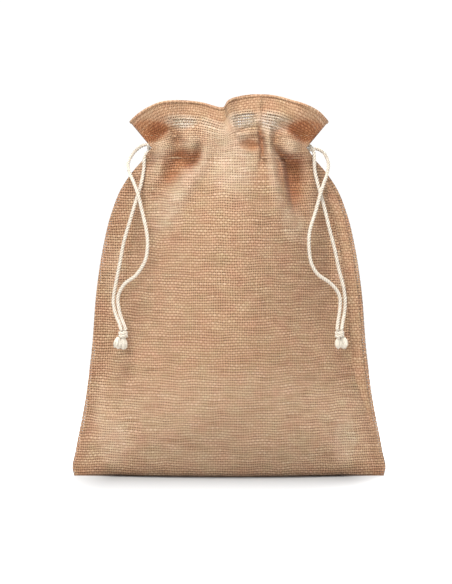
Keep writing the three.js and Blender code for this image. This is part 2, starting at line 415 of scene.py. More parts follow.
def folds(x, z, paths):
    """How far the folds move each point: a move below 0 goes in, one above 0 comes out. Each fold is a cap,
    which is the radius of its ends, and the stations of its path: x, z, the move there, and the fold's width
    on the left and on the right of the path as seen going along it."""
    total = np.zeros_like(x)
    for cap, path in paths:
        move = np.zeros_like(x)
        stations = smooth_path(path, 2.0)
        for (xa, za, da, la, ra), (xb, zb, db, lb, rb) in zip(stations[:-1], stations[1:]):
            dx, dz = xb - xa, zb - za
            length = math.hypot(dx, dz)
            reached = ((x - xa) * dx + (z - za) * dz) / length**2
            t = np.clip(reached, 0, 1)
            beyond = np.abs(reached - t) * length
            aside = ((x - xa) * -dz + (z - za) * dx) / length
            width = np.maximum(np.where(aside > 0, la + (lb - la) * t, ra + (rb - ra) * t), 0.4)
            away = np.minimum(1, np.hypot(aside / width, beyond / cap))
            floor = 0.3 * smoothstep(9, 17, width)
            value = (da + (db - da) * t) * (1 - smoothstep(floor, 1, away))
            move = np.where(np.abs(value) > np.abs(move), value, move)
        total += move
    return total


FRONT_FOLDS = [
    # Left side: the wing's lower edge, the dark hollow under the tongue of cloth, and its way down the body.
    (4, [(-62, 264, -1, 8, 3), (-55, 271.5, -3.5, 11, 4), (-47, 277.5, -5, 10, 5), (-42, 273, -3.5, 7, 5),
         (-40, 266, -1, 6, 6)]),
    (6, [(-41, 268, -2, 6, 6), (-40, 260, -4, 7, 7), (-36, 254.5, -6, 9, 11), (-29.5, 250.5, -7.5, 10, 11),
         (-25, 252, -7, 10, 4.5), (-22.5, 257, -4.5, 9, 3.5), (-21.5, 262, -1, 7, 3)]),
    (10, [(-40, 250, -3, 13, 13), (-46, 240, -4.5, 14, 12), (-52, 226, -3, 14, 12), (-60, 208, -1.5, 14, 12),
          (-70, 188, -0.3, 13, 12)]),
    (7, [(-17, 264, 0.5, 7, 5), (-21, 254, 2, 10, 4.5), (-27, 244, 4, 12, 7), (-38, 230, 4.5, 14, 13),
         (-51, 211, 3, 15, 15), (-66, 190, 0.4, 15, 15)]),
    (6, [(-30, 274, 1, 9, 9), (-30, 266, 3, 9, 9), (-30, 259, 2, 8, 8)]),
    (8, [(-52, 270, 2, 8, 9), (-52.5, 260, 3.5, 10, 10), (-55, 246, 3, 11, 10), (-60, 232, 1, 11, 11)]),
    # Right side: the deep fold beside the belly, with the tunnel's bulge above it.
    (3, [(34.5, 264, -2, 3.5, 3), (38.5, 258, -6, 5, 3.5), (43, 253.5, -9, 5, 5)]),
    (4, [(45, 253, -8, 15, 4.5), (46.5, 243, -9.5, 17, 4.5), (48, 232, -8, 17, 4.5), (50.5, 218, -4.5, 16, 5),
         (53.5, 207, -1.8, 15, 6), (57, 196, -0.4, 14, 8), (61, 186, -0.1, 13, 12)]),
    (4, [(43, 252, -3, 5, 5), (49, 250, -4, 5, 5), (55, 251, -2, 5, 5), (59, 254, -0.5, 4, 4)]),
    (7, [(48, 272, 2, 10, 10), (49, 263, 5, 10, 10), (49.5, 257, 4, 8, 8)]),
    (4, [(62, 264, -1, 3, 8), (54, 271.5, -3.5, 4, 11), (44, 278, -5, 5, 10), (38.5, 274, -4, 6, 7),
         (36, 267, -3, 6, 5)]),
    # Middle: the edge of the right hump over the left one, the pinch below it and the thin deep fold.
    (3, [(-2.5, 303, 5, 10, 2.2), (-2, 295, 5.5, 10, 2.2), (0.5, 286, 5, 8, 2.4), (3, 277.5, 4.5, 5, 3),
         (7, 271.5, 3, 4, 4), (12, 268, 1, 3, 4)]),
    (3, [(5, 272, -1, 1.6, 3), (14, 276.8, -1.2, 1.6, 3), (23, 278, -1, 1.6, 3)]),
    (3, [(9, 271.5, 2, 3, 3), (15, 272.3, 2.5, 3, 3), (21, 272.5, 2, 3, 3)]),
    (4, [(10, 265, -1, 5, 5), (14, 263.5, -3, 6, 5), (18, 262.5, -3.5, 6, 6), (22, 262, -2, 5, 5)]),
    (3, [(23.7, 300, 2, 4, 4), (23.5, 290, 2.5, 4, 4), (23.5, 281, 1.5, 3, 3)]),
    (3, [(24, 280, -1.5, 3, 3), (24.3, 275, -4, 3.5, 3), (25.4, 267, -6, 5, 3.5), (26.2, 258, -5, 5, 3.5),
         (25.5, 249, -2.5, 5, 4), (22, 240, -0.5, 5, 5)]),
    (6, [(32, 292, 0.5, 6, 6), (31, 278, 3, 6, 6), (31.5, 262, 3.5, 5, 5), (33.5, 248, 4, 6, 6),
         (36, 232, 4, 8, 7), (41, 212, 1.5, 9, 9)]),
    (14, [(4, 276, 0.5, 16, 16), (4, 258, 2.5, 18, 18), (4, 240, 2.5, 20, 20), (4, 220, 0.5, 22, 22)]),
    # The soft creases across both sides, level with the widest part of the filling.
    (6, [(-100, 186, -0.8, 5, 5), (-88, 183, -2.2, 6, 6), (-74, 187, -0.5, 6, 6)]),
    (6, [(100, 186, -0.8, 5, 5), (88, 183, -2.2, 6, 6), (76, 186, -0.5, 6, 6)]),
]

BACK_FOLDS = [
    (3, [(-62, 265, -2, 6, 2), (-54, 272, -5, 9, 3), (-45, 277, -6, 9, 3), (-38, 270, -5, 5, 5)]),
    (5, [(-38, 262, -6, 7, 6), (-38, 252, -11, 9, 7), (-42, 238, -9, 10, 8), (-48, 222, -5, 11, 9),
         (-56, 202, -1, 11, 11)]),
    (5, [(-12, 298, -3, 6, 6), (-10, 282, -5, 6, 6), (-8, 264, -7, 6, 7), (-6, 250, -9, 8, 8),
         (-4, 232, -4, 9, 9), (-3, 215, -0.5, 10, 10)]),
    (6, [(8, 292, 2, 7, 7), (9, 268, 3, 8, 8), (11, 244, 3.5, 9, 9), (13, 222, 1, 10, 10)]),
    (5, [(28, 300, -3, 5, 5), (29, 284, -5, 5, 5), (31, 264, -6, 6, 7), (34, 250, -11, 9, 5),
         (38, 232, -8, 10, 7), (44, 210, -3, 11, 9), (50, 194, -0.5, 11, 11)]),
    (3, [(62, 265, -2, 2, 6), (55, 271, -5, 3, 8), (47, 277, -5, 3, 8), (40, 271, -3, 4, 4)]),
    (6, [(-25, 292, 2, 7, 7), (-24, 268, 3, 8, 8), (-23, 246, 3.5, 9, 9), (-26, 222, 1, 10, 10)]),
    (6, [(50, 262, 3, 8, 8), (52, 246, 1, 9, 9)]),
]

# Soft patches as (x, z, half width, half height, strength), for the four ways in which the cloth is tinted:
# open thins the yarns, dense closes the gaps, and the other two paint shade into the colour and paint light
# into it (shade, where its strength is below 0).
# Shade is painted into the wings' corners.
WING_CORNERS = [(-64, 274, 15, 9, 1.0), (62, 274, 15, 9, 1.0)]
WING_SIDES = [(-60, 276, 16, 9, 1.0), (58, 277, 16, 9, 1.0)]
FRONT_SPOTS = {
    "open": [(11.5, 285, 11, 9, 1.9), (38, 282, 14, 8, 1.8), (-38, 283, 13, 7, 1.9), (-14, 284, 9, 7, 0.6)],
    "dense": [
        (0, 284, 4, 11, 1.0), (23.5, 290, 4, 12, 0.8), *WING_SIDES, (16, 263, 7, 5, 0.8),
        (25.5, 266, 3, 12, 0.7),
    ],
    # Painted shade: the wings' corners, the deep fold on the right, the hollow under the tongue and the
    # streak below it, and the pinch.
    "painted_shade": [
        *WING_CORNERS, (46, 242, 9, 15, 0.4), (48, 228, 8, 14, 0.2), (-32, 253, 11, 8, 0.5),
        (-46, 245, 8, 13, 0.4), (16, 263, 8, 5, 0.5),
    ],
    # Painted light on the lit bulges, the see-through parts, the sides and the lower body, and painted shade
    # (below 0) on the wings' corners.
    "painted_light": [
        (-2, 252, 26, 24, 0.5), (-10, 280, 14, 12, 0.7), (34, 281, 13, 10, 0.9), (-38, 283, 13, 8, 1.0),
        (11, 286, 9, 9, 0.5), (-50, 212, 16, 18, 0.3), (-92, 165, 10, 26, 0.3), (94, 165, 10, 26, 0.3),
        (62, 205, 8, 24, 0.2), (-92, 26, 12, 20, 0.4), (-104, 60, 7, 20, 0.3), (92, 30, 10, 20, 0.4),
        (50, 202, 9, 14, 0.5), (10, 40, 120, 48, 0.3), (-64, 274, 15, 9, -0.6), (62, 274, 15, 9, -0.6),
    ],
}
BACK_SPOTS = {
    "open": [(11, 284, 18, 11, 1.7), (40, 282, 16, 8, 1.6), (-38, 284, 17, 8, 1.6)],
    "dense": WING_SIDES,
    "painted_shade": WING_CORNERS,
    # Painted light on the back's header and neck.
    "painted_light": [(0, 284, 60, 14, 0.7), (10, 250, 24, 20, 0.7), (-24, 255, 10, 22, 0.5), (52, 246, 10, 18, 0.3)],
}


def patches(x, z, spots):
    """Soft-edged patches, added together."""
    total = np.zeros_like(x)
    for middle_x, middle_z, half_x, half_z, strength in spots:
        away = np.hypot((x - middle_x) / half_x, (z - middle_z) / half_z)
        total += strength * smoothstep(1.25, 0.65, away)
    return total


def waves(x, z, seed, size, height):
    """Low soft waves, as the filling pushes on the cloth."""
    draw = np.random.default_rng(seed)
    total = np.zeros_like(x)
    for _ in range(9):
        angle, phase = draw.uniform(0, math.pi), draw.uniform(0, 2 * math.pi)
        length = size * draw.uniform(0.7, 1.6)
        total += np.sin(2 * math.pi * (x * math.cos(angle) + z * math.sin(angle)) / length + phase)
    return height * total / 3


def filled_depth(across, z, lean):
    """How far the smooth filled form stands out from the middle plane."""
    reach = centre_depth(z) + (wing_depth(z) - centre_depth(z)) * smoothstep(0.42, 0.8, np.abs(across))
    reach = reach + lean * smoothstep(266, 300, z)
    sides = side_depth(z)
    return sides + (reach - sides) * (1 - across**2) ** fullness(z)


def over_cords(depth, z):
    """The depth, kept clear of the cords in their tunnel with a rounded step."""
    cover = TUNNEL_COVER * smoothstep(250.5, 255, z) * smoothstep(272.5, 268, z)
    over = depth - cover
    return cover + 0.5 * (over + np.sqrt(over**2 + COVER_SOFTNESS**2))


def undercut(z):
    """How far the cloth draws in where it turns under the pouch, along a quarter circle."""
    return UNDERTURN * (1 - np.sqrt(1 - np.clip((UNDERTURN - z) / UNDERTURN, 0, 1) ** 2))


class Panel:
    """One panel of cloth as a grid of points, from the fold at its base to the fold at its top edge."""

    def __init__(self, side, paths, spots, lean, seed):
        self.side = side
        across, x, z = self.lay_grid()
        inside = smoothstep(0, 0.12, 1 - np.abs(across))
        push = folds(x, z, paths)
        bulges = waves(x, z, seed, 70, 0.8) + waves(x, z, seed + 1, 26, 0.25)
        depth = filled_depth(across, z, lean) + push * inside
        depth = over_cords(depth + bulges * (inside * smoothstep(0, 30, z)), z)
        depth -= undercut(z) * np.minimum(1, (1 - across**2) * 2)
        self.points = np.stack([x, side * np.maximum(depth, EDGE), z], -1)
        self.tints = self.tint(push, inside, spots)
        self.flat = self.lay_flat()

    def lay_grid(self):
        """The grid seen from the front: each point's share of the half width, and its x and z."""
        body = np.concatenate([np.linspace(0, GATHER, BODY_ROWS)[:-1], np.linspace(GATHER, NECK, NECK_ROWS)])
        body = body[:, None]
        rise = np.linspace(0, 1, HEADER_ROWS)[1:, None]
        across = np.linspace(-1, 1, COLUMNS)[None, :].repeat(len(body) + len(rise), 0)
        x = across * np.vstack([half_width(body), NECK_HALF_WIDTH + (WING - NECK_HALF_WIDTH) * rise])
        top = top_edge(across[:1] * WING) - HEM_ROLL
        z = np.vstack([body.repeat(COLUMNS, 1), NECK + (top - NECK) * rise])
        return across, x, z

    def tint(self, push, inside, spots):
        """What the cloth's material reads at each point. Shade is painted into deep folds, and light onto
        their crests.
        """
        x, z = self.points[..., 0], self.points[..., 2]
        below_top = z[-1] - z
        hem = smoothstep(HEM + 0.8, HEM - 0.8, below_top)
        near_hem = smoothstep(HEM + 3.4, HEM + 1.8, below_top)
        from_side = half_width(z) - np.abs(x)
        seam = 0.3 * smoothstep(SEAM_BAND + 2, SEAM_BAND - 2, from_side) * smoothstep(256, 240, z)
        # Painted shade along the foot, where the cloth turns under the pouch.
        foot = 0.2 * smoothstep(10, 4, z)
        # Painted shade in deep folds, and painted light on their crests.
        painted_fold_shade = np.clip(-push / 9, 0, 1) * inside
        painted_crest_light = np.clip(push / 6, 0, 0.7) * inside
        spot = {tint: patches(x, z, places) for tint, places in spots.items()}
        return {
            "open": np.maximum(spot["open"] - 3 * near_hem, 0) + seam,
            "dense": np.clip(spot["dense"] + hem, 0, 1),
            # Painted shade of the folds, patches and foot, with the seam's darker doubled cloth; then the
            # painted light.
            "painted_shade_and_seam": np.clip(painted_fold_shade + spot["painted_shade"] + seam + foot, 0, 1),
            "painted_light": np.clip(painted_crest_light + spot["painted_light"], -1, 1) * (1 - hem),
        }

    def lay_flat(self):
        """Where each point lies on the flat cloth: its length along the row, and level with the top edge."""
        steps = np.linalg.norm(np.diff(self.points, axis=1), axis=2)
        along = np.concatenate([np.zeros((len(steps), 1)), np.cumsum(steps, 1)], 1)
        u = along - along[:, COLUMNS // 2][:, None]
        # Evened out from row to row, so that the yarns run smoothly through the folds.
        for _ in range(24):
            u[1:-1] = (u[:-2] + 2 * u[1:-1] + u[2:]) / 4
        z = self.points[..., 2]
        climbed = z * CLIMB
        hung = NECK * CLIMB + HEADER_CLOTH - (z[-1] - z)
        v = climbed + (hung - climbed) * smoothstep(NECK - 8, NECK + 16, z)
        return np.stack([u, v], -1)

    def row_at(self, column, height):
        """The fractional row of a height in one column."""
        return np.interp(height, self.points[:, column, 2], np.arange(len(self.points)))

    def place(self, row, column):
        """A point of the panel between grid points, and the way it faces."""
        r = min(max(int(row), 0), len(self.points) - 2)
        c = min(max(int(column), 0), COLUMNS - 2)
        fr, fc = row - r, column - c
        corners = self.points[r : r + 2, c : c + 2]
        low = corners[0, 0] * (1 - fc) + corners[0, 1] * fc
        high = corners[1, 0] * (1 - fc) + corners[1, 1] * fc
        normal = np.cross(corners[0, 1] - corners[0, 0], corners[1, 0] - corners[0, 0]) * -self.side
        return low * (1 - fr) + high * fr, normal / np.linalg.norm(normal)

    def build(self, name):
        return cloth_piece(name, self.points, self.flat, self.tints, CLOTH, flip=self.side > 0)


# Materials.


def yarn(m, across, along, seed, thickness, lift, over):
    """One set of round yarns side by side, thick and thin along their length, which rise and dive as they
    cross the other set. across and along count yarns. over is 1 or -1: which set is on top at the origin.
    Returns each point's yarn number, whether the yarn covers it, and how high it stands there."""
    number = m.do("ROUND", across)
    slub = m.noise(m.times(number, 3.7), m.times(along, 0.16), 1.0, 2.0, seed)
    half = m.add(m.times(m.take(slub, 0.5), 0.34), thickness)
    reach = m.do("DIVIDE", m.do("ABSOLUTE", m.take(across, number)), half)
    on = m.do("LESS_THAN", reach, 1.0)
    rounded = m.do("SQRT", m.do("MAXIMUM", m.take(1.0, m.times(reach, reach)), 0.0))
    parity = m.times(m.do("COSINE", m.times(number, math.pi)), over)
    wave = m.times(m.do("COSINE", m.times(along, math.pi)), parity)
    height = m.times(on, m.add(m.times(rounded, 0.6), m.add(m.times(wave, 0.27), lift)))
    return number, on, height


def channel_shades(m, hue, sides, painted_shade_and_density, light):
    """How much of the red, green and blue is kept: painted shade on the yarns' sides and in folds is warmer,
    and painted light, where the cloth is thin or painted pale, is cooler.
    """
    hues, shares = (0.08, -0.22, -0.14), (0.985, 1.0, 1.0)
    shade_and_density_losses, painted_light_gains, painted_shade_powers = (0.18, 0.42, 0.55), (0.07, 0.19, 0.32), (0.75, 1.0, 1.2)
    shades = m.tree.nodes.new("ShaderNodeCombineColor")
    for socket, turn, share, loss, gain, power in zip(
        shades.inputs, hues, shares, shade_and_density_losses, painted_light_gains, painted_shade_powers
    ):
        # The yarns' painted side shade, redder than grey, then the painted shade and painted light of the
        # tints.
        tinted = m.times(m.do("POWER", sides, power), m.add(m.times(hue, turn), share))
        kept = m.times(m.take(1.0, m.times(painted_shade_and_density, loss)), m.add(m.times(light, gain), 1.0))
        m.put(m.times(tinted, kept), socket)
    return shades.outputs[0]


def jute_material(name, warp_pitch, weft_pitch):
    """Coarse plain weave: round uneven yarns that pass over and under each other, with real gaps between
    them. The attributes open and dense thin the yarns and close the gaps; two more paint shade into the
    colour (with a little more darkening for doubled cloth) and paint light into it. The yarns' sides are
    painted darker as shade, and the gaps are partly filled with painted shade. The pitches are in metres."""
    material, m, shader = start_material(name)
    u, v = m.flat_place()
    thin, dense, painted_shade_and_seam, painted_light = (m.attribute(tint) for tint in ("open", "dense", "painted_shade_and_seam", "painted_light"))

    # The weave: the yarns wander a little, and where the cloth isn't thin its gaps are partly filled with
    # painted shade.
    wander_u = m.times(m.take(m.noise(u, v, 60, 1.0, 3.0), 0.5), 0.0030)
    wander_v = m.times(m.take(m.noise(u, v, 45, 1.0, 9.0), 0.5), 0.0034)
    a = m.do("DIVIDE", m.add(u, wander_u), warp_pitch)
    b = m.do("DIVIDE", m.add(v, wander_v), weft_pitch)
    swell = m.take(m.times(dense, 0.10), m.times(thin, 0.11))
    warp, warp_on, warp_height = yarn(m, a, b, 1.0, m.add(swell, 0.33), 0.38, 1.0)
    weft, weft_on, weft_height = yarn(m, b, a, 5.0, m.add(swell, 0.41), 0.56, -1.0)
    height = m.do("MAXIMUM", warp_height, weft_height)
    weft_on_top = m.do("GREATER_THAN", weft_height, warp_height)
    painted_gap_shade = m.take(0.65, m.times(thin, 2.0))
    cover = m.do("MAXIMUM", warp_on, m.do("MAXIMUM", weft_on, painted_gap_shade))

    # Colour: a tone for each yarn, changing along it, with fine fibres, and shade painted onto the yarns'
    # sides.
    warp_tone = m.mix(0.45, m.noise(m.times(warp, 5.1), m.times(b, 0.14), 1.0, 3.0, 13.0), 0.46)
    weft_tone = m.noise(m.times(weft, 5.7), m.times(a, 0.10), 1.0, 3.0, 17.0)
    warp_fibres = m.noise(m.times(u, 5200.0), m.times(v, 520.0), 1.0, 3.0)
    weft_fibres = m.noise(m.times(u, 520.0), m.times(v, 5200.0), 1.0, 3.0)
    tone = m.mix(weft_on_top, warp_tone, weft_tone)
    fibres = m.mix(weft_on_top, warp_fibres, weft_fibres)
    shade = m.add(m.times(tone, 0.55), m.times(fibres, 0.45))
    colour = m.ramp(shade, (0.28, (0.30, 0.155, 0.080)), (0.46, (0.545, 0.34, 0.204)),
                    (0.56, (0.64, 0.424, 0.27)), (0.74, (0.77, 0.57, 0.40)))
    # Painted shade on the yarns' sides, by their height, less where light is painted.
    sides = m.do("MAXIMUM", m.add(m.take(m.times(height, 1.15), 0.48), m.times(painted_light, 0.3)), 0.08)
    sides = m.do("MINIMUM", sides, 1.0)
    hue = m.take(m.noise(u, v, 75.0, 2.0, 31.0), 0.5)
    # Painted shade from the tints (with a little for doubled cloth), and painted light where the cloth is
    # thin or painted pale.
    painted_shade_and_density = m.do("MINIMUM", m.add(painted_shade_and_seam, m.times(dense, 0.15)), 1.0)
    colour = m.multiply_colour(colour, channel_shades(m, hue, sides, painted_shade_and_density, m.add(thin, painted_light)))

    # The surface, with some light coming through the yarns and all of it through the gaps.
    bump = m.bump(m.add(height, m.times(fibres, 0.25)), 1.0, 0.0008)
    m.put(colour, shader.inputs["Base Color"])
    m.put(m.add(0.78, m.times(fibres, 0.2)), shader.inputs["Roughness"])
    m.put(cover, shader.inputs["Alpha"])
    m.put(bump, shader.inputs["Normal"])
    shader.inputs["Specular IOR Level"].default_value = 0.2
    shader.inputs["Sheen Weight"].default_value = 0.12
    shader.inputs["Sheen Roughness"].default_value = 0.5
    through = m.tree.nodes.new("ShaderNodeBsdfTranslucent")
    m.put(colour, through.inputs["Color"])
    m.put(bump, through.inputs["Normal"])
    gaps = m.tree.nodes.new("ShaderNodeBsdfTransparent")
    glow = m.mix_shaders(cover, gaps.outputs[0], through.outputs[0])
    surface = m.mix_shaders(m.add(m.times(thin, 0.02), 0.16), shader.outputs[0], glow)
    m.put(surface, m.tree.nodes["Material Output"].inputs["Surface"])
    return material


def cord_material(name, light, dark, mottle_scale):
    """Twisted cotton: soft pale fibres, with shade painted darker into the grooves between the plies."""
    material, m, shader = start_material(name)
    turn, along = m.flat_place()
    fibres = m.noise(m.times(turn, 9000.0), m.times(along, 900.0), 1.0, 3.0)
    mottle = m.noise(turn, along, mottle_scale, 2.0)
    # Painted shade: darker in the grooves between the plies.
    painted_groove_shade = m.do("COSINE", m.times(turn, 2 * math.pi / MM))
    shade = m.add(m.times(fibres, 0.45), m.add(m.times(mottle, 0.2), m.add(m.times(painted_groove_shade, 0.14), 0.1)))
    m.put(m.ramp(shade, (0.25, dark), (0.6, light)), shader.inputs["Base Color"])
    m.put(m.add(0.75, m.times(fibres, 0.2)), shader.inputs["Roughness"])
    m.put(m.bump(fibres, 0.5, 0.0002), shader.inputs["Normal"])
    shader.inputs["Sheen Weight"].default_value = 0.3
    shader.inputs["Specular IOR Level"].default_value = 0.2
    return material


JUTE = jute_material("jute", 0.00185, 0.00212)
COTTON = cord_material("cotton", (0.76, 0.70, 0.61), (0.46, 0.39, 0.30), 300.0)
# The frayed ends are paler than the cord: light painted in against the shade among their loose fibres.
FIBRES = cord_material("cotton fibres", (0.92, 0.87, 0.78), (0.74, 0.67, 0.56), 300.0)
THREAD = cord_material("thread", (0.48, 0.29, 0.17), (0.30, 0.17, 0.09), 900.0)


# Cords.

CORD = 3.0
CORD_SIDES = 18
LAY = 7.0  # the length of one full twist
PLY_RADIUS = 0.72
SLIT = 60.3  # where the cords leave the neck, from its middle
TURN_REACH = 3.6  # how far a cord stands out where it turns back at the far slit
FIBRE_COUNT = 110  # in each frayed end
FIBRE_RINGS, FIBRE_SIDES = 6, 4


def frames_along(path):
    """The two directions across a path at each point, turning as little as they can."""
    tangents = np.gradient(path, axis=0)
    tangents /= np.linalg.norm(tangents, axis=1)[:, None]
    across = np.cross(tangents[0], (0.3, 0.9, 0.2))
    firsts, seconds = [], []
    for tangent in tangents:
        across = across - tangent * np.dot(across, tangent)
        across /= np.linalg.norm(across)
        firsts.append(across)
        seconds.append(np.cross(tangent, across))
    return np.array(firsts), np.array(seconds)


def twisted_cord(name, path, diameter=CORD, step=0.45):
    """A cord of three plies: a skin with three lobes, which twists along its path and thins at its two ends.
    Returns the piece and its middle line."""
    path = even_path(smooth_path(path, 1.0), step)
    first, second = frames_along(path)
    scale = diameter / CORD
    ply = PLY_RADIUS * scale
    offset = diameter / 2 - ply
    points, flat = [], []
    for i, centre in enumerate(path):
        taper = min(1, 0.55 + 0.3 * min(i, len(path) - 1 - i))
        for side in range(CORD_SIDES):
            angle = 2 * math.pi * side / CORD_SIDES
            within = (angle + math.pi / 3) % (2 * math.pi / 3) - math.pi / 3
            reach = offset * math.cos(within) + math.sqrt(max(ply**2 - (offset * math.sin(within)) ** 2, 0))
            reach = max(reach, 0.66 * diameter / 2) * taper
            turn = angle + 2 * math.pi * i * step / (LAY * scale)
            points.append(centre + reach * (math.cos(turn) * first[i] + math.sin(turn) * second[i]))
            flat.append((3 * side / CORD_SIDES, i * step))
    piece = make_mesh(name, points, tube_faces(0, len(path), CORD_SIDES), flat)
    piece.data.materials.append(COTTON)
    return piece, path


# Each route starts at the slit at the neck and ends in the knot.
ROUTES = {
    "left_front_strand": [
        (-60.3, -8.3, 258.8), (-63.8, -8.6, 257.9), (-66.2, -9.2, 255.3), (-67.2, -9.6, 251.4),
        (-67.3, -9.6, 246), (-68.2, -10.4, 239), (-69.9, -12.6, 231), (-73.8, -14.6, 218),
        (-78, -15.9, 204), (-83, -16.1, 187), (-86, -16.6, 171), (-89, -16.6, 156), (-91, -16, 145),
        (-91.4, -16.1, 138), (-89.6, -18.2, 130), (-86.2, -22.4, 122), (-85.2, -24.4, 118.4),
    ],
    "left_back_strand": [
        (-60.3, 8.3, 263.6), (-65, 8.6, 264), (-70, 7.6, 262.6), (-76, 4, 257), (-80, -2, 249),
        (-78.6, -7.6, 241), (-75.4, -13.4, 234), (-72, -17.6, 225), (-68.8, -20, 212), (-65, -25.2, 196),
        (-64, -28, 184), (-66, -29, 172), (-73, -26.8, 161), (-81.6, -21.8, 154.5), (-86, -19, 148),
        (-87.8, -18.4, 141), (-86, -20.4, 130), (-82.9, -23.4, 122), (-81.6, -24.4, 118.4),
    ],
    "right_front_strand": [
        (60.3, -8.3, 263.6), (63.8, -8.7, 262.7), (66.3, -9.5, 260.1), (67.3, -10.2, 256.2),
        (67.5, -10.4, 250.5), (67.9, -10.3, 243), (70.4, -12.8, 231.5), (75, -15.2, 215), (79, -16.6, 198),
        (83.4, -16.8, 181), (87, -16.8, 164), (89.2, -16.6, 156), (91, -16.2, 148), (91.8, -15.9, 139),
        (91.2, -17, 131), (89.6, -21, 123), (88.9, -24.4, 118.4),
    ],
    "right_back_strand": [
        (60.3, 8.3, 258.8), (65, 9.3, 259.6), (70.6, 8, 260.4), (76, 3.6, 256.6), (79, -2, 249),
        (77.8, -7.8, 240.6), (75, -13.8, 233), (72.2, -18, 225), (68, -20.6, 210), (63.6, -25.4, 196),
        (62.8, -28.2, 184), (64.4, -29.2, 171), (69.6, -27.8, 161.6), (78.8, -23, 155), (84.6, -19.8, 149),
        (87.6, -18.4, 142), (87.4, -19, 133), (86, -22.2, 124), (85.3, -24.4, 118.4),
    ],
}


def node_box(node):
    """The two corners of a CAD node's box, in millimetres."""
    return [np.array(corner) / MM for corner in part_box(node)]


def node_middle(node):
    low, high = node_box(node)
    return (low + high) / 2


def fit(piece, node, body):
    """Put a piece in place of its CAD node, riding on one body."""
    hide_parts(node)
    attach(piece, body)
    return piece


def add_knot(side):
    """Both strands held by a little more than two turns of cord, which slant."""
    x, y, z = node_middle(f"{side}_knot")
    turns, width, depth, height, slant = 2.3, 5.0, 3.8, 5.0, 0.6
    path = []
    for t in np.linspace(0, 1, 60):
        angle = 2 * math.pi * turns * t + 0.6
        level = height * (0.5 - t) + slant * math.cos(angle)
        path.append((x + width / 2 * math.cos(angle), y + depth / 2 * math.sin(angle), z + level))
    knot, _ = twisted_cord(f"{side}_knot_turns", path, diameter=2.9, step=0.4)
    return fit(knot, f"{side}_knot", f"{side}_tail")


def add_tassel(side, end):
    """A cord end come apart into its fibres, spreading as they go down."""
    node = f"{side}_tassel_{end}"
    low, high = node_box(node)
    top = np.array([(low[0] + high[0]) / 2, (low[1] + high[1]) / 2, high[2] + 1.5])
    spread = (high[0] - low[0]) / 2 * 1.05
    points, faces, flat = [], [], []
    for _ in range(FIBRE_COUNT):
        angle, ring = random.uniform(0, 2 * math.pi), math.sqrt(random.uniform(0, 1))
        out = np.array([math.cos(angle), 0.75 * math.sin(angle), 0]) * ring
        start = top + out * 0.9
        foot = np.array([top[0], top[1], low[2]]) + out * spread
        foot[2] += 1.6 * ring**2 + random.uniform(-0.3, 1.4)
        bend = out * random.uniform(0.2, 1.2)
        bend += np.array([random.uniform(-0.4, 0.4), random.uniform(-0.4, 0.4), 0])
        radius = random.uniform(0.18, 0.32)
        # The rings go down, so the faces of the tube are turned over.
        tube = tube_faces(len(points), FIBRE_RINGS, FIBRE_SIDES)
        faces.extend(face[::-1] for face in tube)
        for t in np.linspace(0, 1, FIBRE_RINGS):
            centre = start + (foot - start) * t + bend * math.sin(math.pi * t)
            thin = radius * (1 - 0.6 * t)
            for k in range(FIBRE_SIDES):
                turn = 2 * math.pi * k / FIBRE_SIDES
                points.append(centre + thin * np.array([math.cos(turn), math.sin(turn), 0]))
                flat.append((k / FIBRE_SIDES + ring, 8 * t + angle))
    tassel = make_mesh(f"{side}_frayed_end_{end}", points, faces, flat)
    tassel.data.materials.append(FIBRES)
    return fit(tassel, node, f"{side}_tail")


def add_strand(side, face):
    """The part of a cord that hangs from the slit, and ends inside the knot."""
    name = f"{side}_{face}_strand"
    route = np.array(ROUTES[name])
    inside_knot = (route[-1] + node_middle(f"{side}_knot")) / 2 + (0, 0, 0.5)
    strand, path = twisted_cord(f"{name}_cord", np.vstack([route, inside_knot]))
    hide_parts(f"{name}_upper", f"{name}_lower")
    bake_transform(strand)


def add_run(side, face):
    """The part of a cord inside one tunnel, straight from slit to slit."""
    node = f"{side}_cord_{face}_run"
    low, high = node_box(node)
    _, y, z = (low + high) / 2
    run, _ = twisted_cord(f"{node}_cord", [(x, y, z) for x in (low[0], 0, high[0])])
    fit(run, node, f"{side}_cord")


def add_far_bend(side):
    """Where a cord turns back at the slit on the other side."""
    out = 1 if side == "left" else -1
    front, back = node_middle(f"{side}_cord_front_run"), node_middle(f"{side}_cord_back_run")
    path = []
    for turn in np.linspace(-math.pi / 2, math.pi / 2, 9):
        x = out * (SLIT + TURN_REACH * math.cos(turn))
        z = (front[2] + back[2]) / 2 + (back[2] - front[2]) / 2 * math.sin(turn)
        path.append((x, back[1] * math.sin(turn), z))
    bend, _ = twisted_cord(f"{side}_cord_far_turn", path)
    fit(bend, f"{side}_cord_far_bend", "pouch")


def add_cord(side):
    knot = add_knot(side)
    tassels = [add_tassel(side, end) for end in ("a", "b")]
    for face, with_pieces in (("front", [knot, *tassels]), ("back", [])):
        add_strand(side, face)
        add_run(side, face)
    add_far_bend(side)


# What is sewn to the panels.

LEAST_DEPTH = 0.6  # the least distance of the hem and the base from the middle plane
STRIP_COLUMNS = 121
STITCH, STITCH_GAP = 2.6, 1.6
STITCH_WIDTH = 0.48
STITCH_RISE, STITCH_SINK = 0.42, 0.24  # the arch of a stitch, and how far its ends lie inside the cloth
STITCH_RINGS, STITCH_SIDES = 7, 6
SEAM_STITCH_INSET = 0.2


def panel_below(panel, drop):
    """The row of points a given length below the top edge."""
    row = []
    for column in range(COLUMNS):
        line = panel.points[:, column]
        row.append([np.interp(line[-1, 2] - drop, line[:, 2], line[:, k]) for k in range(3)])
    return np.array(row)


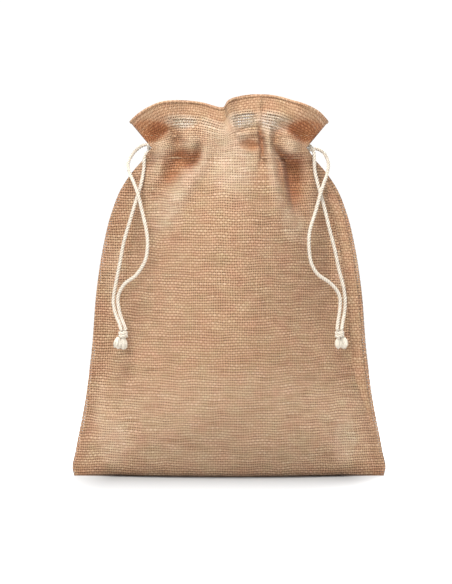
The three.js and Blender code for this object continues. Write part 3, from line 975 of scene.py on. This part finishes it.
def level_row(panel, height):
    """Points of the panel along one height, from side to side of the tunnel."""
    row = []
    for x in np.linspace(-TUNNEL_HALF_LENGTH, TUNNEL_HALF_LENGTH, STRIP_COLUMNS):
        column = float(np.interp(x, panel.points[NECK_ROW, :, 0], np.arange(COLUMNS)))
        point, _ = panel.place(panel.row_at(int(round(column)), height), column)
        row.append((x, point[1], height))
    return np.array(row)


def hem_strip(panel, name):
    """The turned hem: it rolls over the top edge and goes down behind it."""
    # Its section, as how far behind the panel and how far above the panel's top row each point is.
    section = [(-0.1, -0.6), (-0.1, 0.3), (0.3, 0.9), (1.0, 1.15), (1.7, 0.8), (2.0, -0.4)]
    section += [(2.0 + 0.1 * i, -0.4 - 0.96 * i) for i in range(1, 11)]
    top, below = panel.points[-1], panel.points[-6]
    down = (below - top) / np.linalg.norm(below - top, axis=1)[:, None]
    points, flat = [], []
    for behind, over in section:
        line = top - down * over if over > -0.7 else panel_below(panel, -over)
        depth = np.maximum(panel.side * line[:, 1] - behind, LEAST_DEPTH)
        points.append(np.stack([line[:, 0], panel.side * depth, line[:, 2]], -1))
        flat.append(panel.flat[-1] + (0, HEM + 2 + over))
    # Light is painted on the part of the hem behind the panel, which is seen through the panel's gaps.
    painted_light = [[float(behind >= 2.0)] for behind, _ in section]
    return cloth_piece(name, points, flat, {"dense": 1, "painted_light": painted_light}, 0.5, flip=panel.side < 0)


def tunnel_strip(panel, name):
    """The inner side of the cord tunnel: a strip sewn behind the cloth at its upper and lower edges."""
    low, high = level_row(panel, TUNNEL_LOW), level_row(panel, TUNNEL_HIGH)
    middle_depth, edge_least = 5.0, 3.0
    points = []
    for t in np.linspace(0, 1, 21):
        line = low * (1 - t) + high * t
        held = np.maximum(np.abs(line[:, 1]) - CLOTH - 0.5, edge_least)
        line[:, 1] = panel.side * (middle_depth + (held - middle_depth) * abs(2 * t - 1) ** 5)
        points.append(line)
    points = np.array(points)
    return cloth_piece(name, points, points[..., [0, 2]], {"dense": 0.5}, CLOTH, flip=panel.side < 0)


def stitches(name, places):
    """Running stitches along (point, facing) pairs: short threads that rise out of the cloth and dive."""
    path = np.array([point for point, _ in places])
    facing = np.array([normal for _, normal in places])
    travelled = np.concatenate([[0], np.cumsum(np.linalg.norm(np.diff(path, axis=0), axis=1))])

    def at(distance):
        spot = np.array([np.interp(distance, travelled, path[:, k]) for k in range(3)])
        out = np.array([np.interp(distance, travelled, facing[:, k]) for k in range(3)])
        return spot, out / np.linalg.norm(out)

    points, faces, flat = [], [], []
    start = 1.0
    while start + STITCH < travelled[-1]:
        faces += tube_faces(len(points), STITCH_RINGS, STITCH_SIDES)
        for t in np.linspace(0, 1, STITCH_RINGS):
            spot, out = at(start + STITCH * t)
            ahead, _ = at(start + STITCH * t + 0.2)
            along = (ahead - spot) / max(np.linalg.norm(ahead - spot), 1e-6)
            across = np.cross(along, out)
            arch = max(math.sin(math.pi * t), 0)
            thick = STITCH_WIDTH / 2 * (0.35 + 0.65 * arch**0.5)
            centre = spot + out * (STITCH_RISE * arch - STITCH_SINK)
            for k in range(STITCH_SIDES):
                turn = 2 * math.pi * k / STITCH_SIDES
                points.append(centre + thick * (math.cos(turn) * across + math.sin(turn) * out))
                flat.append((3 * k / STITCH_SIDES, start + STITCH * t))
        start += STITCH + STITCH_GAP
    return make_mesh(name, points, faces, flat)


def stitch_row(panel, name, heights, margin):
    """Stitches across the panel at a height for each column, leaving out the columns nearest its sides."""
    columns = range(margin, COLUMNS - margin)
    return stitches(name, [panel.place(panel.row_at(column, heights[column]), column) for column in columns])


def side_stitches(side, name):
    """Along the side seam, from the base to the slit, facing sideways."""
    facing = np.array([float(side), 0, 0])
    places = []
    for z in np.linspace(3, 250, 120):
        places.append((np.array([side * (half_width(z) - SEAM_STITCH_INSET), 0, z]), facing))
    return stitches(name, places)


def seam_band(side, name):
    """The seam allowance: a narrow doubled band inside the side seam."""
    insets = (2.5, 5.5, 8.5, 12.0)
    points, flat = [], []
    for z in np.linspace(4, 248, 90):
        ripple = [0.25 * math.sin(0.3 * z + inset) for inset in insets]
        points.append([(side * (half_width(z) - inset), y, z) for inset, y in zip(insets, ripple)])
        flat.append([(side * inset, z) for inset in insets])
    return cloth_piece(name, points, flat, {"dense": 0.6}, 1.2)


def base_sheet():
    """The cloth folded under the pouch: it closes the lens between the two panels."""
    half_length, height = 123.2, 0.9
    across = np.linspace(-1, 1, COLUMNS)
    crown = 1 - across**2
    reach = EDGE + BASE_HALF_DEPTH * crown - UNDERTURN * np.minimum(1, crown * 2) + 0.6
    points, flat = [], []
    for share in np.linspace(-1, 1, 13):
        depth = share * np.maximum(reach, LEAST_DEPTH)
        points.append(np.stack([across * half_length, depth, np.full(COLUMNS, height)], -1))
        flat.append(np.stack([across * half_length, share * reach], -1))
    return cloth_piece("base_cloth", points, flat, {"dense": 0.5}, 0.8)


# Build the pouch.

MATERIALS = {"jute_cloth": JUTE, "sewing_thread": THREAD}


def sew(piece, slot, node, body):
    """Give a sewn piece the material of its slot, and put it in place of its CAD node."""
    piece.data.materials.append(MATERIALS[slot])
    return fit(piece, node, body)


def add_panel(face, panel):
    """One panel of cloth, with everything that is sewn to it."""
    lip = f"{face}_lip"
    cloth = panel.build(f"{face}_cloth")
    cloth.data.materials.append(JUTE)
    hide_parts(f"{face}_panel", f"{face}_header")
    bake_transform(cloth)
    lining = tunnel_strip(panel, f"{face}_tunnel_lining")
    sewn = [sew(lining, "jute_cloth", f"{face}_cord_tunnel", "pouch")]
    hem = hem_strip(panel, f"{face}_turned_hem")
    sewn.append(sew(hem, "jute_cloth", f"{face}_top_hem", lip))
    for row, height in (("upper", TUNNEL_HIGH), ("lower", TUNNEL_LOW)):
        line = stitch_row(panel, f"{face}_tunnel_{row}_stitches", np.full(COLUMNS, height), 2)
        sewn.append(sew(line, "sewing_thread", f"{face}_tunnel_{row}_stitching", "pouch"))
    line = stitch_row(panel, f"{face}_hem_stitches", panel.points[-1, :, 2] - HEM + 1.2, 3)
    sewn.append(sew(line, "sewing_thread", f"{face}_hem_stitching", lip))


add_cord("left")
add_cord("right")
add_panel("front", Panel(-1, FRONT_FOLDS, FRONT_SPOTS, lean=1, seed=11))
add_panel("back", Panel(1, BACK_FOLDS, BACK_SPOTS, lean=9, seed=23))
for name, side in (("left", -1), ("right", 1)):
    sew(seam_band(side, f"{name}_seam_band"), "jute_cloth", f"{name}_seam_allowance", "pouch")
    sew(side_stitches(side, f"{name}_side_stitches"), "sewing_thread", f"{name}_side_seam", "pouch")
sew(base_sheet(), "jute_cloth", "base_fold", "pouch")
